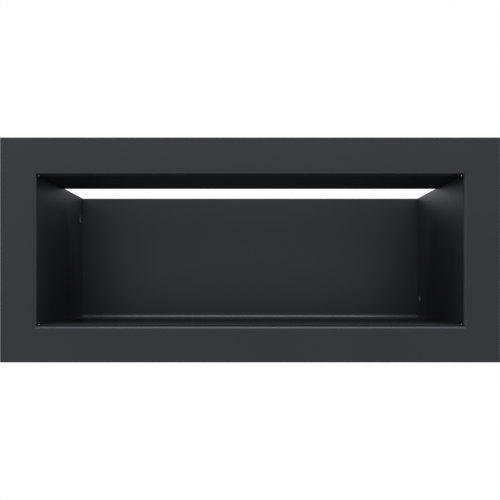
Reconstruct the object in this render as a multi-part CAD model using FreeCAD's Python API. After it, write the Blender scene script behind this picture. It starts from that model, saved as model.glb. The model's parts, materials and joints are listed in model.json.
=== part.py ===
"""Recessed fireplace air outlet, in millimetres.

A flat steel frame surrounds an open-fronted box of folded sheet.  Warm air rises behind the box and comes
in through a slot in its roof, between the rear edge of the roof lip and the back wall.  The frame and the
box are one unit, bolted together behind the frame.  It slides into a four-sided wall sleeve, and two spring
clips grip the sleeve's sides.

X is to the right and Z is up, seen from the room.  Y points into the wall.  The origin is at the middle of
the opening, on the wall's surface.
"""
import FreeCAD
import Part
import math
import os

# ---- driving dimensions: front frame -------------------------------------------------------------
FACE_WIDTH = 581.8
FACE_HEIGHT = 261.6
FACE_SHEET = 1.2
STAND_OFF = 15.0          # from the wall's surface to the front of the face
OUTER_BEND = 0.5          # outside radius of the frame's outer edge, which is grooved and so bends sharply
WALL_GAP = 0.3            # left between the frame's rear edge and the wall
OPENING_WIDTH = 498.2
OPENING_HEIGHT = 177.8
INNER_BEND = 4.6          # outside radius of the edge that turns into the opening
INNER_RETURN = 7.5        # how far that edge reaches behind the face

# ---- driving dimensions: box ---------------------------------------------------------------------
BOX_SHEET = 1.0
CHEEK_OUTSET = 0.7        # how far the cheeks stand outside the frame's opening
ROOF_INSET = 0.3          # how far the roof stands inside it
FLOOR_INSET = 1.4         # the same for the floor
FLANGE_BEND = 1.1         # outside radius of the bend between a wall and its front flange
FLANGE_WIDTH = 14.5       # from the frame's opening outwards
BOX_DEPTH = 145.1         # from the front flange to the back wall's inner face
LIP_DEPTH = 75.8          # from the front flange to the roof lip's rear edge
BACK_BEND = 4.7           # inside radius between the floor and the back wall
STIFFENER = 5.5           # height of the stiffening edges beside the air slot; passes under the sleeve
STIFFENER_BEND = 1.2      # outside radius
SLOT_SIDE_RISE = 0.8      # how far the cheeks stand above the roof's inner face beside the air slot
RAIL_LEG = 14.0           # from the front flange to the rear edge of the rail under the floor
TAB_HEIGHT = 12.0         # side tabs that lap the cheeks from outside
TAB_BEND = 0.9            # outside radius
ROOF_TABS = ((6.0, 14.0), (40.0, 48.0), (58.0, 69.0))      # start and end behind the front flange
FLOOR_TABS = ((18.0, 28.0), (37.0, 52.0), (63.0, 84.0), (98.0, 120.0))
CORNER_NOTCH = 0.4        # how far the open front corners reach in from the box's inner faces
CORNER_NOTCH_DEPTH = 4.5  # behind the front flange
CORNER_SLIT = 0.15        # between the box's edges and the ears
CORNER_EAR = 7.0          # how far a cheek's flange runs on past the floor and the roof

# ---- driving dimensions: spring clips ------------------------------------------------------------
CLIP_SLOT_LENGTH = 8.0    # along Y
CLIP_SLOT_HEIGHT = 12.0
CLIP_SLOT_DEPTH = 136.0   # from the front flange to the middle of the slot
CLIP_SLOT_RISE = 58.6     # from mid-height, up on the left and down on the right
CLIP_WIDTH = 14.0
CLIP_SHEET = 0.8
CLIP_BENDS = (20.0, 14.0)  # radius of the middle of the strip at the foot and at the crest
CLIP_FOOT = 14.0          # length of the foot, centred on the slot
CLIP_CREST_Y = 20.0
CLIP_TIP_Y = 5.0
CLIP_CURL = 1.4           # how far the tip turns back from the crest
FOOT_CLEARANCE = 0.3      # between the foot and the cheek
BOSS_CLEARANCE = 0.5      # round the boss, in the slot
BOSS_RECESS = 0.25        # between the boss and the cheek's inner face
BOSS_THICKNESS = 4.0
DISH_RIM = 0.5            # flat left above and below the hollow in the boss's face
DISH_DEPTH = 1.5
CLIP_CLEARANCE = 0.5      # between the clip's crest and the sleeve

# ---- driving dimensions: wall sleeve -------------------------------------------------------------
SLEEVE_SHEET = 1.0
SLEEVE_WIDTH = 512.0      # inside
SLEEVE_HEIGHT = 190.8     # inside
SLEEVE_DEPTH = 30.0
SLEEVE_BEND = 1.0         # radius of the middle of the sheet
SLEEVE_FLANGE = 22.6
SIDE_COLLAR_HEIGHT = 170.0
JOINT_GAP = 0.4
WALL_HOLE_RADIUS = 2.25
WALL_HOLE_SPACING_X = 380.0
PLATE_WIDTH = 18.0
PLATE_LENGTH = 34.0

# ---- driving dimensions: fasteners ---------------------------------------------------------------
STUD_RADIUS = 2.0
STUD_END = 1.6            # from the stud's tip to the wall's surface
STUD_HOLE_RADIUS = 2.25
STUD_OFFSET = 9.8         # from the opening's edge outwards
STUD_X = (80.0, 215.0)
STUD_Z = 45.0
WELD_RADIUS = 3.0
WELD_HEIGHT = 0.6
WASHER_RADIUS = 4.5
WASHER_HEIGHT = 0.8
NUT_ACROSS_FLATS = 7.0
NUT_HEIGHT = 3.0
THREAD_CLEARANCE = 0.02
RIVET_RADIUS = 1.6
RIVET_HEAD_RADIUS = 3.2
RIVET_HEAD_HEIGHT = 1.1

# ---- planes worked out from them -----------------------------------------------------------------
FACE_Y = -STAND_OFF
FLANGE_Y = FACE_Y + INNER_RETURN
HALF_OPENING_X = OPENING_WIDTH / 2
HALF_OPENING_Z = OPENING_HEIGHT / 2
BOX_X = HALF_OPENING_X + CHEEK_OUTSET
ROOF_Z = HALF_OPENING_Z - ROOF_INSET
FLOOR_Z = FLOOR_INSET - HALF_OPENING_Z
BACK_Y = FLANGE_Y + BOX_DEPTH
FLANGE_MIDDLE_Y = FLANGE_Y + BOX_SHEET / 2
LIP_Y = FLANGE_Y + LIP_DEPTH
EDGE_BEND = FLANGE_BEND - BOX_SHEET / 2
SLOT_EDGE_BEND = STIFFENER_BEND - BOX_SHEET / 2
SLOT_Y = FLANGE_Y + CLIP_SLOT_DEPTH
SLEEVE_X = SLEEVE_WIDTH / 2
SLEEVE_Z = SLEEVE_HEIGHT / 2
WALL_HOLE_Z = SLEEVE_Z + SLEEVE_FLANGE / 2
SLACK = 5.0               # extra length on cutting tools

ORIGIN = FreeCAD.Vector(0, 0, 0)
AXIS_X = FreeCAD.Vector(1, 0, 0)
AXIS_Y = FreeCAD.Vector(0, 1, 0)
AXIS_Z = FreeCAD.Vector(0, 0, 1)


# ---- general shapes ------------------------------------------------------------------------------
def block(x_span, y_span, z_span):
    """A box between two limits on each axis."""
    low = FreeCAD.Vector(min(x_span), min(y_span), min(z_span))
    high = FreeCAD.Vector(max(x_span), max(y_span), max(z_span))
    size = high - low
    return Part.makeBox(size.x, size.y, size.z, low)


def rod(radius, x, z, y_start, y_end):
    """A cylinder along Y."""
    return Part.makeCylinder(radius, y_end - y_start, FreeCAD.Vector(x, y_start, z), AXIS_Y)


def offset_edges(points, normal, bends, offset):
    """One face of a bent strip: straight runs and tangent arcs, at a distance from the strip's middle."""
    edges = []
    start = None
    last = len(points) - 1
    for index in range(last + 1):
        before = (points[index] - points[index - 1]).normalize() if index else None
        after = (points[index + 1] - points[index]).normalize() if index < last else None
        side = normal.cross(before if before else after)
        if before is None:
            start = points[index] + side * offset
            continue
        if after is None:
            edges.append(Part.LineSegment(start, points[index] + side * offset).toShape())
            continue
        turn = math.asin(max(-1.0, min(1.0, before.cross(after).dot(normal))))
        sign = math.copysign(1.0, turn)
        bend_radius = bends[index - 1]
        trim = bend_radius * math.tan(abs(turn) / 2)
        centre = points[index] - before * trim + side * (sign * bend_radius)
        reach = bend_radius - sign * offset
        enter = points[index] - before * trim + side * offset
        leave = points[index] + after * trim + normal.cross(after) * offset
        middle = centre + (points[index] - centre).normalize() * reach
        edges.append(Part.LineSegment(start, enter).toShape())
        edges.append(Part.Arc(enter, middle, leave).toShape())
        start = leave
    return edges


def bent_strip(points, normal, bends, thickness, width, base):
    """Sheet bent along a path across normal and as wide as given from base; bends are its middle radii."""
    near = offset_edges(points, normal, bends, -thickness / 2)
    far = offset_edges(points, normal, bends, thickness / 2)
    first_end = Part.LineSegment(far[0].firstVertex().Point, near[0].firstVertex().Point).toShape()
    last_end = Part.LineSegment(near[-1].lastVertex().Point, far[-1].lastVertex().Point).toShape()
    outline = Part.Wire(Part.__sortEdges__([first_end] + near + [last_end] + far))
    face = Part.Face(outline)
    face.translate(normal * base)
    return face.extrude(normal * width)


def mirrored_x(shape):
    """The same shape on the other side of the plane x = 0."""
    return shape.mirror(ORIGIN, AXIS_X)


def mirrored_z(shape):
    """The same shape on the other side of the plane z = 0."""
    return shape.mirror(ORIGIN, AXIS_Z)


def turned_over(shape):
    """The same shape turned half round about the opening's axis."""
    copy = shape.copy()
    copy.rotate(ORIGIN, AXIS_Y, 180)
    return copy


# ---- front frame ---------------------------------------------------------------------------------
def frame_form(inset, back_y):
    """The frame as a solid ring; inset moves every surface into the sheet by the same amount."""
    half_x = FACE_WIDTH / 2 - inset
    half_z = FACE_HEIGHT / 2 - inset
    open_x = HALF_OPENING_X + inset
    open_z = HALF_OPENING_Z + inset
    front_y = FACE_Y + inset
    bend = INNER_BEND - inset
    side = block((open_x, half_x), (front_y, back_y), (-half_z, half_z))
    side = side.makeFillet(bend, edges_at(side, x=open_x, y=front_y))
    top = block((-half_x, half_x), (front_y, back_y), (open_z, half_z))
    top = top.makeFillet(bend, edges_at(top, z=open_z, y=front_y))
    ring = side.fuse([mirrored_x(side), top, mirrored_z(top)])
    outside = block((-half_x, half_x), (front_y, back_y), (-half_z, half_z))
    front_edges = []
    for sign in (-1, 1):
        front_edges += edges_at(outside, x=sign * half_x, y=front_y)
        front_edges += edges_at(outside, z=sign * half_z, y=front_y)
    outer_bend = OUTER_BEND - inset
    if outer_bend > 0:
        outside = outside.makeFillet(outer_bend, front_edges)
    return ring.common(outside)


def edges_at(shape, x=None, y=None, z=None):
    """The edges whose middle lies at the given coordinates."""
    found = []
    for edge in shape.Edges:
        middle = edge.CenterOfMass
        wanted = ((x, middle.x), (y, middle.y), (z, middle.z))
        if all(goal is None or abs(goal - value) < 1e-6 for goal, value in wanted):
            found.append(edge)
    return found


def front_frame():
    """Flat frame of one sheet: edge turned back at the outside, wide soft edge turned into the opening."""
    rear_y = -WALL_GAP
    sheet = frame_form(0.0, rear_y).cut(frame_form(FACE_SHEET, rear_y + SLACK))
    beyond = HALF_OPENING_X + FACE_SHEET + SLACK
    above = HALF_OPENING_Z + FACE_SHEET + SLACK
    trim = block((-beyond, beyond), (FLANGE_Y, rear_y + SLACK), (-above, above))
    return sheet.cut(trim).removeSplitter()


# ---- studs, washers and nuts that hold the box to the frame --------------------------------------
def stud_places():
    """Positions of the weld studs, as x and z."""
    stud_z = HALF_OPENING_Z + STUD_OFFSET
    stud_x = HALF_OPENING_X + STUD_OFFSET
    places = []
    for sign_x in (-1, 1):
        for sign_z in (-1, 1):
            for x in STUD_X:
                places.append((sign_x * x, sign_z * stud_z))
            places.append((sign_x * stud_x, sign_z * STUD_Z))
    return places


def frame_studs():
    """Threaded studs with a weld collar, on the back of the face."""
    root_y = FACE_Y + FACE_SHEET
    studs = []
    for x, z in stud_places():
        shank = rod(STUD_RADIUS, x, z, root_y, -STUD_END)
        collar = rod(WELD_RADIUS, x, z, root_y, root_y + WELD_HEIGHT)
        studs.append(shank.fuse(collar).removeSplitter())
    return Part.makeCompound(studs)


def stud_washers():
    """Plain washers behind the box's flanges."""
    start = FLANGE_Y + BOX_SHEET
    washers = []
    for x, z in stud_places():
        disc = rod(WASHER_RADIUS, x, z, start, start + WASHER_HEIGHT)
        washers.append(disc.cut(rod(STUD_HOLE_RADIUS, x, z, start - SLACK, start + SLACK)))
    return Part.makeCompound(washers)


def stud_nuts():
    """Hexagon nuts on the studs."""
    start = FLANGE_Y + BOX_SHEET + WASHER_HEIGHT
    corner_radius = NUT_ACROSS_FLATS / math.sqrt(3)
    nuts = []
    for x, z in stud_places():
        corners = []
        for step in range(7):
            angle = math.radians(60 * step)
            across = corner_radius * math.cos(angle)
            up = corner_radius * math.sin(angle)
            corners.append(FreeCAD.Vector(x + across, start, z + up))
        prism = Part.Face(Part.makePolygon(corners)).extrude(AXIS_Y * NUT_HEIGHT)
        bore = rod(STUD_RADIUS + THREAD_CLEARANCE, x, z, start - SLACK, start + SLACK)
        nuts.append(prism.cut(bore))
    return Part.makeCompound(nuts)


def with_stud_holes(panel):
    """The panel with a clearance hole round each stud that passes through it."""
    holes = [rod(STUD_HOLE_RADIUS, x, z, FLANGE_Y - SLACK, 0) for x, z in stud_places()]
    return panel.cut(holes)


# ---- box of folded sheet -------------------------------------------------------------------------
def side_tabs(spans, outer_z):
    """Tabs along both sides of a panel with its outer face at outer_z, turned over the cheeks' outsides."""
    inward = -math.copysign(1.0, outer_z)
    near_x = BOX_X + BOX_SHEET
    far_x = near_x + BOX_SHEET
    tabs = []
    for start, end in spans:
        y_span = (FLANGE_Y + start, FLANGE_Y + end)
        tab = block((near_x, far_x), y_span, (outer_z, outer_z + inward * TAB_HEIGHT))
        tab = tab.makeFillet(TAB_BEND, edges_at(tab, x=far_x, z=outer_z))
        tabs += [tab, mirrored_x(tab)]
    return tabs


def front_notch(x_span, z_span):
    """Cutter for the open front corners, where the bends of two panels would meet."""
    return block(x_span, (FLANGE_Y - SLACK, FLANGE_Y + CORNER_NOTCH_DEPTH), z_span)


def across_box(path, bends):
    """A panel as wide as the box over its cheeks, bent along y and z, with notched front corners."""
    points = [FreeCAD.Vector(0, y, z) for y, z in path]
    half = BOX_X + BOX_SHEET
    panel = bent_strip(points, AXIS_X, bends, BOX_SHEET, 2 * half, -half)
    notch = front_notch((BOX_X - CORNER_NOTCH, half + SLACK), (-FACE_HEIGHT, FACE_HEIGHT))
    return panel.cut([notch, mirrored_x(notch)])


def roof_lip():
    """Front part of the roof: flange behind the frame, flat lip, and an edge turned up at the air slot."""
    middle_z = ROOF_Z + BOX_SHEET / 2
    rear_y = LIP_Y - BOX_SHEET / 2
    path = [
        (FLANGE_MIDDLE_Y, HALF_OPENING_Z + FLANGE_WIDTH),
        (FLANGE_MIDDLE_Y, middle_z),
        (rear_y, middle_z),
        (rear_y, middle_z + STIFFENER),
    ]
    panel = across_box(path, (EDGE_BEND, SLOT_EDGE_BEND))
    panel = panel.fuse(side_tabs(ROOF_TABS, ROOF_Z + BOX_SHEET)).removeSplitter()
    return with_stud_holes(panel)


def floor_and_back():
    """Floor and back wall of one sheet: plain front edge, floor, wide bend, back wall, top turned back."""
    floor_z = FLOOR_Z - BOX_SHEET / 2
    back_y = BACK_Y + BOX_SHEET / 2
    top_z = ROOF_Z + BOX_SHEET / 2
    path = [(FLANGE_Y, floor_z), (back_y, floor_z), (back_y, top_z), (back_y + STIFFENER, top_z)]
    panel = across_box(path, (BACK_BEND + BOX_SHEET / 2, SLOT_EDGE_BEND))
    return panel.fuse(side_tabs(FLOOR_TABS, FLOOR_Z - BOX_SHEET)).removeSplitter()


def floor_rail():
    """Angle under the floor's front edge: a leg that carries the floor and a flange behind the frame."""
    leg_z = FLOOR_Z - 1.5 * BOX_SHEET
    path = [
        (FLANGE_MIDDLE_Y, -HALF_OPENING_Z - FLANGE_WIDTH),
        (FLANGE_MIDDLE_Y, leg_z),
        (FLANGE_Y + RAIL_LEG, leg_z),
    ]
    return with_stud_holes(across_box(path, (EDGE_BEND,)))


def flange_ears():
    """Ends of a cheek's front flange, where it runs on beside the flanges of the roof and of the rail."""
    x_span = (BOX_X + BOX_SHEET + CORNER_SLIT, HALF_OPENING_X + FLANGE_WIDTH)
    y_span = (FLANGE_Y, FLANGE_Y + BOX_SHEET)
    upper = block(x_span, y_span, (ROOF_Z - BOX_SHEET, ROOF_Z + CORNER_EAR))
    lower = block(x_span, y_span, (FLOOR_Z - CORNER_EAR, FLOOR_Z + BOX_SHEET))
    return [upper, lower]


def cheek(slot_z):
    """Side wall on the right: front flange, and a clip slot at the given height."""
    middle_x = BOX_X + BOX_SHEET / 2
    path = [
        FreeCAD.Vector(HALF_OPENING_X + FLANGE_WIDTH, FLANGE_MIDDLE_Y, 0),
        FreeCAD.Vector(middle_x, FLANGE_MIDDLE_Y, 0),
        FreeCAD.Vector(middle_x, BACK_Y, 0),
    ]
    panel = bent_strip(path, AXIS_Z, (EDGE_BEND,), BOX_SHEET, ROOF_Z - FLOOR_Z, FLOOR_Z)
    beside_slot = block(
        (BOX_X, BOX_X + BOX_SHEET),
        (LIP_Y + JOINT_GAP, BACK_Y),
        (0, ROOF_Z + SLOT_SIDE_RISE),
    )
    panel = panel.fuse([beside_slot] + flange_ears()).removeSplitter()
    panel = panel.makeFillet(BACK_BEND + JOINT_GAP, edges_at(panel, y=BACK_Y, z=FLOOR_Z))
    wall = (BOX_X - SLACK, BOX_X + BOX_SHEET)
    upper_notch = front_notch(wall, (ROOF_Z - CORNER_NOTCH, ROOF_Z + SLACK))
    lower_notch = front_notch(wall, (FLOOR_Z - SLACK, FLOOR_Z + CORNER_NOTCH))
    slot = block(
        (BOX_X - SLACK, BOX_X + SLACK),
        (SLOT_Y - CLIP_SLOT_LENGTH / 2, SLOT_Y + CLIP_SLOT_LENGTH / 2),
        (slot_z - CLIP_SLOT_HEIGHT / 2, slot_z + CLIP_SLOT_HEIGHT / 2),
    )
    return with_stud_holes(panel.cut([slot, upper_notch, lower_notch]))


def right_cheek():
    """Side wall on the right, with its clip slot low down."""
    return cheek(-CLIP_SLOT_RISE)


def left_cheek():
    """Side wall on the left, with its clip slot high up."""
    return mirrored_x(cheek(CLIP_SLOT_RISE))


# ---- spring clips --------------------------------------------------------------------------------
def right_clip():
    """Leaf spring: a foot with a boss that fills the slot, and a crest that leans towards the sleeve."""
    foot_x = BOX_X + BOX_SHEET + FOOT_CLEARANCE + CLIP_SHEET / 2
    crest_x = SLEEVE_X - CLIP_CLEARANCE - CLIP_SHEET / 2
    path = [
        FreeCAD.Vector(foot_x, SLOT_Y + CLIP_FOOT / 2, 0),
        FreeCAD.Vector(foot_x, SLOT_Y - CLIP_FOOT / 2, 0),
        FreeCAD.Vector(crest_x, CLIP_CREST_Y, 0),
        FreeCAD.Vector(crest_x - CLIP_CURL, CLIP_TIP_Y, 0),
    ]
    leaf = bent_strip(path, AXIS_Z, CLIP_BENDS, CLIP_SHEET, CLIP_WIDTH, -CLIP_SLOT_RISE - CLIP_WIDTH / 2)
    half_length = CLIP_SLOT_LENGTH / 2 - BOSS_CLEARANCE
    half_height = CLIP_SLOT_HEIGHT / 2 - BOSS_CLEARANCE
    boss_x = BOX_X + BOSS_RECESS
    boss = block(
        (boss_x, boss_x + BOSS_THICKNESS),
        (SLOT_Y - half_length, SLOT_Y + half_length),
        (-CLIP_SLOT_RISE - half_height, -CLIP_SLOT_RISE + half_height),
    )
    half_dish = half_height - DISH_RIM
    dish_radius = (half_dish ** 2 + DISH_DEPTH ** 2) / (2 * DISH_DEPTH)
    dish_x = boss_x + DISH_DEPTH - dish_radius
    dish = rod(dish_radius, dish_x, -CLIP_SLOT_RISE, SLOT_Y - half_length, SLOT_Y + half_length)
    return leaf.fuse(boss).cut(dish).removeSplitter()


def left_clip():
    """The same leaf spring, turned half round to the left cheek's slot."""
    return turned_over(right_clip())


# ---- wall sleeve ---------------------------------------------------------------------------------
def sleeve_right():
    """Side of the sleeve: a collar that goes into the wall and a flange that lies on it."""
    mid_x = SLEEVE_X + SLEEVE_SHEET / 2
    path = [
        FreeCAD.Vector(SLEEVE_X + SLEEVE_FLANGE, -SLEEVE_SHEET / 2, 0),
        FreeCAD.Vector(mid_x, -SLEEVE_SHEET / 2, 0),
        FreeCAD.Vector(mid_x, SLEEVE_DEPTH, 0),
    ]
    half = SLEEVE_Z - JOINT_GAP
    bar = bent_strip(path, AXIS_Z, (SLEEVE_BEND,), SLEEVE_SHEET, 2 * half, -half)
    collar_x = (SLEEVE_X - SLACK, SLEEVE_X + 2 * SLEEVE_BEND + SLEEVE_SHEET)
    collar_y = (SLEEVE_BEND, SLEEVE_DEPTH + SLACK)
    over = block(collar_x, collar_y, (SIDE_COLLAR_HEIGHT / 2, SLEEVE_Z + SLACK))
    bar = bar.cut([over, mirrored_z(over)])
    return bar.cut(rivet_holes())


def sleeve_top():
    """Top of the sleeve, as long as the flange, with two of the four wall screw holes."""
    mid_z = SLEEVE_Z + SLEEVE_SHEET / 2
    path = [
        FreeCAD.Vector(0, -SLEEVE_SHEET / 2, SLEEVE_Z + SLEEVE_FLANGE),
        FreeCAD.Vector(0, -SLEEVE_SHEET / 2, mid_z),
        FreeCAD.Vector(0, SLEEVE_DEPTH, mid_z),
    ]
    half = SLEEVE_X + SLEEVE_FLANGE
    bar = bent_strip(path, AXIS_X, (SLEEVE_BEND,), SLEEVE_SHEET, 2 * half, -half)
    past_x = (SLEEVE_X, half + SLACK)
    past = block(past_x, (SLEEVE_BEND, SLEEVE_DEPTH + SLACK), (SLEEVE_Z - SLACK, SLEEVE_Z + SLACK))
    holes = []
    for sign in (-1, 1):
        x = sign * WALL_HOLE_SPACING_X / 2
        holes.append(rod(WALL_HOLE_RADIUS, x, WALL_HOLE_Z, -SLEEVE_SHEET - SLACK, SLACK))
    return bar.cut([past, mirrored_x(past)] + holes + rivet_holes())


def rivet_places():
    """Positions of the sleeve's rivets, as x and z: two in each corner plate."""
    x = SLEEVE_X + SLEEVE_FLANGE / 2
    low = SLEEVE_Z - PLATE_LENGTH / 4
    high = SLEEVE_Z + PLATE_LENGTH / 4
    return [(sign_x * x, sign_z * z) for sign_x in (-1, 1) for sign_z in (-1, 1) for z in (low, high)]


def rivet_holes():
    """Cutting tools for the rivets' shanks."""
    return [rod(RIVET_RADIUS, x, z, -3 * SLEEVE_SHEET, SLACK) for x, z in rivet_places()]


def sleeve_plate(sign_x, sign_z):
    """Plate that joins two of the sleeve's bars at one corner, on the front of their flanges."""
    middle_x = sign_x * (SLEEVE_X + SLEEVE_FLANGE / 2)
    middle_z = sign_z * SLEEVE_Z
    x_span = (middle_x - PLATE_WIDTH / 2, middle_x + PLATE_WIDTH / 2)
    z_span = (middle_z - PLATE_LENGTH / 2, middle_z + PLATE_LENGTH / 2)
    return block(x_span, (-2 * SLEEVE_SHEET, -SLEEVE_SHEET), z_span).cut(rivet_holes())


def sleeve_rivets():
    """Rivets through the corner plates: a low domed head in front, flush with the wall side behind."""
    rivets = []
    front = -2 * SLEEVE_SHEET
    ball_radius = (RIVET_HEAD_RADIUS ** 2 + RIVET_HEAD_HEIGHT ** 2) / (2 * RIVET_HEAD_HEIGHT)
    for x, z in rivet_places():
        ball = Part.makeSphere(ball_radius, FreeCAD.Vector(x, front - RIVET_HEAD_HEIGHT + ball_radius, z))
        head = ball.common(block((x - SLACK, x + SLACK), (front - SLACK, front), (z - SLACK, z + SLACK)))
        rivets.append(head.fuse(rod(RIVET_RADIUS, x, z, front, 0)).removeSplitter())
    return Part.makeCompound(rivets)


# ---- all sub-parts -------------------------------------------------------------------------------
def sub_parts():
    """Every sub-part by name."""
    parts = {
        "front_frame": front_frame(),
        "frame_studs": frame_studs(),
        "stud_washers": stud_washers(),
        "stud_nuts": stud_nuts(),
        "roof_lip": roof_lip(),
        "floor_and_back": floor_and_back(),
        "floor_rail": floor_rail(),
        "left_cheek": left_cheek(),
        "right_cheek": right_cheek(),
        "left_clip": left_clip(),
        "right_clip": right_clip(),
        "sleeve_top": sleeve_top(),
        "sleeve_bottom": mirrored_z(sleeve_top()),
        "sleeve_left": mirrored_x(sleeve_right()),
        "sleeve_right": sleeve_right(),
        "sleeve_rivets": sleeve_rivets(),
    }
    for sign_z, height in ((1, "top"), (-1, "bottom")):
        for sign_x, side in ((-1, "left"), (1, "right")):
            parts["sleeve_plate_" + height + "_" + side] = sleeve_plate(sign_x, sign_z)
    return parts


os.makedirs("parts", exist_ok=True)
for name, shape in sub_parts().items():
    print(name, len(shape.Solids), "solids, valid", shape.isValid(), "volume", round(shape.Volume, 1))
    shape.exportStep(os.path.join("parts", name + ".step"))
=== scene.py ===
"""Looks for the recessed fireplace air outlet: materials, studio and camera."""
import json
import math

import bpy
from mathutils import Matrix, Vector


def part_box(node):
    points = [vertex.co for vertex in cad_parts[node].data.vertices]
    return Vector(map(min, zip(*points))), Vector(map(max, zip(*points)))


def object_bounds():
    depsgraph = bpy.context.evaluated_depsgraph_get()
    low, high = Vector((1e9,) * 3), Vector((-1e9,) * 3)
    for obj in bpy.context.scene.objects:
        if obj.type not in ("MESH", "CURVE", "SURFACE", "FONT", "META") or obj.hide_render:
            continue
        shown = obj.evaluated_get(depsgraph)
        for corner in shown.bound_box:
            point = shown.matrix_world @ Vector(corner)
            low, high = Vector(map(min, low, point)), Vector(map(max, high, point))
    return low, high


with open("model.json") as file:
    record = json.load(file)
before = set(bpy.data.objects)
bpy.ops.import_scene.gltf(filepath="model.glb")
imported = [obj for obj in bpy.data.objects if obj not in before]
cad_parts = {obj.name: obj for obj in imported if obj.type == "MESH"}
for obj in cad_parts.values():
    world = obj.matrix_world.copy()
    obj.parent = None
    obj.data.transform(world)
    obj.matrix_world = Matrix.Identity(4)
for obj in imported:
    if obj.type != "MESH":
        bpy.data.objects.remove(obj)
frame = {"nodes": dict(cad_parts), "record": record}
cad_box = [list(corner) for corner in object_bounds()]

# ---- camera: lens and sensor in millimetres, places in metres -------------------------------------
LENS = 33.12
SENSOR = 36.0
CAMERA_DISTANCE = 0.5344      # from the front of the face
CAMERA_DROP = 0.0448          # below the middle of the opening
CAMERA_SIDE = -0.00017        # a hair to the left of the middle
VIEW_SHIFT_UP = 0.077         # as a share of the picture's side

# ---- floor and softbox, in metres ------------------------------------------------------------------
FLOOR_DROP = 1.1              # below the outlet's lowest point
FLOOR_RADIUS = 1.3
FLOOR_RIM_STEP = 5            # degrees from one point of the round rim to the next
FLOOR_TONE = 0.87
FLOOR_ROUGHNESS = 0.8
SOFTBOX_SIZE = (1.7, 0.28)
SOFTBOX_PLACE = (0.0, -0.25, 1.3)
SOFTBOX_POWER = 28.0

# ---- studio light ----------------------------------------------------------------------------------
# Each ramp lists (part, level) pairs. The part is how far a direction points along one axis, -1 to 1.
WORLD_STRENGTH = 1.0
WORLD_BY_HEIGHT = (           # from straight down to straight up
    (-1.0, 1.9),
    (-0.8, 1.25),
    (-0.4, 1.05),
    (-0.1, 0.7),
    (0.0, 0.66),
    (0.2, 0.78),
    (0.4, 1.1),
    (0.6, 0.95),
    (0.8, 0.25),
    (1.0, 0.1),
)
REAR_RIGHT = (0.6, 0.8, 0.0)  # behind the outlet, to the right
WORLD_BY_REAR_RIGHT = ((-1.0, 0.95), (0.0, 1.0), (0.4, 1.7), (0.7, 1.35), (1.0, 0.6))
WORLD_BY_WIDTH = ((-1.0, 1.6), (-0.5, 1.15), (0.0, 1.0), (1.0, 0.98))
STUDIO_TINT = (0.955, 0.97, 1.02)  # slightly cool

# ---- surfaces: colours are linear, and noise scales are per metre ----------------------------------
COAT_DARK = (0.0055, 0.0057, 0.0061)
COAT_LIGHT = (0.0065, 0.0067, 0.0072)
COAT_ROUGHNESS = (0.46, 0.50)
COAT_SPECULAR_TINT = (0.97, 0.98, 1.0, 1.0)
COAT_CLOUD_SCALE = 9.0        # broad, faint changes of tone and gloss
COAT_PEEL_SCALE = 900.0       # the baked powder's texture
COAT_PEEL_STRENGTH = 0.25
COAT_PEEL_HEIGHT = 0.00004    # metres

ZINC_DARK = (0.44, 0.45, 0.47)
ZINC_LIGHT = (0.60, 0.61, 0.63)
ZINC_ROUGHNESS = (0.34, 0.50)
ZINC_SPANGLE_SCALE = 110.0

# dark tone, light tone, roughness from least to most, scale of the grain
PLAIN_METALS = {
    "spring_steel": ((0.30, 0.30, 0.31), (0.38, 0.38, 0.39), (0.28, 0.40), 300.0),
    "zinc_fasteners": ((0.50, 0.52, 0.54), (0.64, 0.65, 0.67), (0.22, 0.36), 500.0),
    "rivet_aluminium": ((0.60, 0.60, 0.61), (0.70, 0.70, 0.71), (0.30, 0.42), 500.0),
}

# the part of a texture's range over which a ramp runs from dark to light
TONE_SPAN = (0.3, 0.7)
COAT_GLOSS_SPAN = (0.35, 0.65)
SPANGLE_SPAN = (0.1, 0.9)


# ---- node helpers ----------------------------------------------------------------------------------
def new_material(name):
    """An empty node material, with its node tree and its main shader."""
    material = bpy.data.materials.new(name)
    material.use_nodes = True
    tree = material.node_tree
    return material, tree, tree.nodes["Principled BSDF"]


def add(tree, kind, **settings):
    """A new node with some settings."""
    node = tree.nodes.new(kind)
    for key, value in settings.items():
        setattr(node, key, value)
    return node


def grey(level):
    """A grey with no colour cast."""
    return (level, level, level)


def noise(tree, scale, detail, roughness):
    """Height of solid noise in the object's own coordinates."""
    place = add(tree, "ShaderNodeTexCoord")
    texture = add(tree, "ShaderNodeTexNoise")
    texture.inputs["Scale"].default_value = scale
    texture.inputs["Detail"].default_value = detail
    texture.inputs["Roughness"].default_value = roughness
    tree.links.new(place.outputs["Object"], texture.inputs["Vector"])
    return texture.outputs["Fac"]


def spangle(tree, scale):
    """A random colour for each cell of a solid pattern, in the object's own coordinates."""
    place = add(tree, "ShaderNodeTexCoord")
    texture = add(tree, "ShaderNodeTexVoronoi")
    texture.inputs["Scale"].default_value = scale
    tree.links.new(place.outputs["Object"], texture.inputs["Vector"])
    return texture.outputs["Color"]


def ramp(tree, source, span, dark, light):
    """Colour from dark to light over a span of the source's range."""
    node = add(tree, "ShaderNodeValToRGB")
    for point, position, colour in zip(node.color_ramp.elements, span, (dark, light)):
        point.position = position
        point.color = (*colour, 1.0)
    tree.links.new(source, node.inputs["Fac"])
    return node.outputs["Color"]


def set_tone(tree, shader, source, span, dark, light):
    """Base colour from dark to light with the source."""
    tree.links.new(ramp(tree, source, span, dark, light), shader.inputs["Base Color"])


def set_gloss(tree, shader, source, span, least, most):
    """Roughness from least to most with the source."""
    tree.links.new(ramp(tree, source, span, grey(least), grey(most)), shader.inputs["Roughness"])


def set_relief(tree, shader, source, strength, height):
    """Fine relief from the source."""
    node = add(tree, "ShaderNodeBump")
    node.inputs["Strength"].default_value = strength
    node.inputs["Distance"].default_value = height
    tree.links.new(source, node.inputs["Height"])
    tree.links.new(node.outputs["Normal"], shader.inputs["Normal"])


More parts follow.
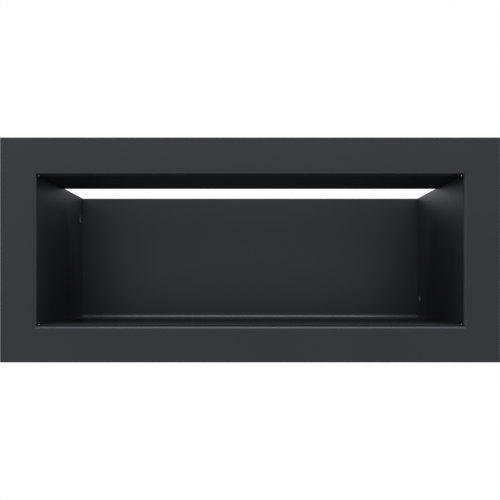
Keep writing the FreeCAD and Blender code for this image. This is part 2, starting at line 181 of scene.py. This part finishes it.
# ---- materials -------------------------------------------------------------------------------------
def graphite_coat():
    """Graphite powder coat: near-black grey, satin, with the fine orange peel of baked powder."""
    material, tree, shader = new_material("graphite_coat")
    peel = noise(tree, COAT_PEEL_SCALE, detail=2.0, roughness=0.55)
    cloud = noise(tree, COAT_CLOUD_SCALE, detail=2.0, roughness=0.5)
    set_tone(tree, shader, cloud, TONE_SPAN, COAT_DARK, COAT_LIGHT)
    set_gloss(tree, shader, cloud, COAT_GLOSS_SPAN, *COAT_ROUGHNESS)
    set_relief(tree, shader, peel, COAT_PEEL_STRENGTH, COAT_PEEL_HEIGHT)
    shader.inputs["Specular Tint"].default_value = COAT_SPECULAR_TINT
    return material


def galvanised_sheet():
    """Galvanised steel with a faint spangle."""
    material, tree, shader = new_material("galvanised_sheet")
    cells = spangle(tree, ZINC_SPANGLE_SCALE)
    set_tone(tree, shader, cells, SPANGLE_SPAN, ZINC_DARK, ZINC_LIGHT)
    set_gloss(tree, shader, cells, SPANGLE_SPAN, *ZINC_ROUGHNESS)
    shader.inputs["Metallic"].default_value = 1.0
    return material


def plain_metal(name):
    """Plain metal with slight variation of tone and gloss."""
    dark, light, roughness, scale = PLAIN_METALS[name]
    material, tree, shader = new_material(name)
    grain = noise(tree, scale, detail=4.0, roughness=0.6)
    set_tone(tree, shader, grain, TONE_SPAN, dark, light)
    set_gloss(tree, shader, grain, TONE_SPAN, *roughness)
    shader.inputs["Metallic"].default_value = 1.0
    return material


def make_materials():
    """One material for each of the record's slots."""
    materials = {"graphite_coat": graphite_coat(), "galvanised_sheet": galvanised_sheet()}
    for name in PLAIN_METALS:
        materials[name] = plain_metal(name)
    return materials


def dress_nodes(materials):
    """Gives every CAD node the material of its slot."""
    for entry in frame["record"]["subparts"]:
        node = frame["nodes"][entry["node"]]
        node.data.materials.clear()
        node.data.materials.append(materials[entry["material_slot"]])


# ---- studio ----------------------------------------------------------------------------------------
def direction_ramp(tree, source, stops):
    """Level of light over one part of a direction."""
    span = add(tree, "ShaderNodeMapRange")
    span.inputs["From Min"].default_value = -1.0
    tree.links.new(source, span.inputs["Value"])
    level = add(tree, "ShaderNodeValToRGB")
    level.color_ramp.interpolation = "EASE"
    points = level.color_ramp.elements
    placed = [((part + 1) / 2, (*grey(value), 1.0)) for part, value in stops]
    points[0].position, points[0].color = placed[0]
    points[1].position, points[1].color = placed[-1]
    for position, colour in placed[1:-1]:
        points.new(position).color = colour
    tree.links.new(span.outputs["Result"], level.inputs["Fac"])
    return level.outputs["Color"]


def product(tree, first, second):
    """Two colours multiplied."""
    node = add(tree, "ShaderNodeMix", data_type="RGBA", blend_type="MULTIPLY")
    node.inputs["Factor"].default_value = 1.0
    tree.links.new(first, node.inputs["A"])
    tree.links.new(second, node.inputs["B"])
    return node.outputs["Result"]


def surroundings_colour(tree):
    """The studio's light in each direction: three ramps and a tint, multiplied."""
    direction = add(tree, "ShaderNodeTexCoord").outputs["Generated"]
    parts = add(tree, "ShaderNodeSeparateXYZ")
    tree.links.new(direction, parts.inputs["Vector"])
    to_rear_right = add(tree, "ShaderNodeVectorMath", operation="DOT_PRODUCT")
    to_rear_right.inputs[1].default_value = REAR_RIGHT
    tree.links.new(direction, to_rear_right.inputs[0])
    by_height = direction_ramp(tree, parts.outputs["Z"], WORLD_BY_HEIGHT)
    by_rear_right = direction_ramp(tree, to_rear_right.outputs["Value"], WORLD_BY_REAR_RIGHT)
    by_width = direction_ramp(tree, parts.outputs["X"], WORLD_BY_WIDTH)
    tint = add(tree, "ShaderNodeRGB").outputs["Color"]
    tint.default_value = (*STUDIO_TINT, 1.0)
    level = product(tree, product(tree, by_height, by_rear_right), by_width)
    return product(tree, level, tint)


def make_world():
    """Soft studio surroundings; the camera itself sees plain white."""
    world = bpy.data.worlds.new("studio")
    world.use_nodes = True
    tree = world.node_tree
    surroundings = tree.nodes["Background"]
    surroundings.inputs["Strength"].default_value = WORLD_STRENGTH
    tree.links.new(surroundings_colour(tree), surroundings.inputs["Color"])
    page = add(tree, "ShaderNodeBackground")
    page.inputs["Color"].default_value = (*grey(1.0), 1.0)
    path = add(tree, "ShaderNodeLightPath")
    choice = add(tree, "ShaderNodeMixShader")
    tree.links.new(path.outputs["Is Camera Ray"], choice.inputs["Fac"])
    tree.links.new(surroundings.outputs["Background"], choice.inputs[1])
    tree.links.new(page.outputs["Background"], choice.inputs[2])
    tree.links.new(choice.outputs["Shader"], tree.nodes["World Output"].inputs["Surface"])
    bpy.context.scene.world = world


def make_floor():
    """A plain pale floor, well below the outlet, which throws no light on it."""
    low = cad_box[0][2] - FLOOR_DROP
    turns = [math.radians(angle) for angle in range(0, 360, FLOOR_RIM_STEP)]
    rim = [(FLOOR_RADIUS * math.cos(turn), FLOOR_RADIUS * math.sin(turn), low) for turn in turns]
    mesh = bpy.data.meshes.new("floor")
    mesh.from_pydata(rim, [], [list(range(len(rim)))])
    floor = bpy.data.objects.new("floor", mesh)
    bpy.context.scene.collection.objects.link(floor)
    material, _, shader = new_material("pale_floor")
    shader.inputs["Base Color"].default_value = (*grey(FLOOR_TONE), 1.0)
    shader.inputs["Roughness"].default_value = FLOOR_ROUGHNESS
    mesh.materials.append(material)
    floor.visible_diffuse = False
    floor.visible_glossy = False


def make_softbox():
    """A long softbox over the front of the outlet, which shines straight down."""
    light = bpy.data.lights.new("softbox", "AREA")
    light.shape = "RECTANGLE"
    light.size, light.size_y = SOFTBOX_SIZE
    light.energy = SOFTBOX_POWER
    light.color = STUDIO_TINT
    lamp = bpy.data.objects.new("softbox", light)
    lamp.location = SOFTBOX_PLACE
    bpy.context.scene.collection.objects.link(lamp)


def make_camera():
    """Camera square on to the face, a little below its middle, with the view shifted up."""
    data = bpy.data.cameras.new("camera")
    data.lens = LENS
    data.sensor_width = SENSOR
    data.shift_y = VIEW_SHIFT_UP
    camera = bpy.data.objects.new("camera", data)
    face_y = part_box("front_frame")[0].y
    camera.location = (CAMERA_SIDE, face_y - CAMERA_DISTANCE, -CAMERA_DROP)
    camera.rotation_euler = (math.radians(90), 0.0, 0.0)
    bpy.context.scene.collection.objects.link(camera)
    bpy.context.scene.camera = camera


make_camera()
dress_nodes(make_materials())
make_world()
make_floor()
make_softbox()
bpy.context.scene.view_settings.view_transform = "Standard"
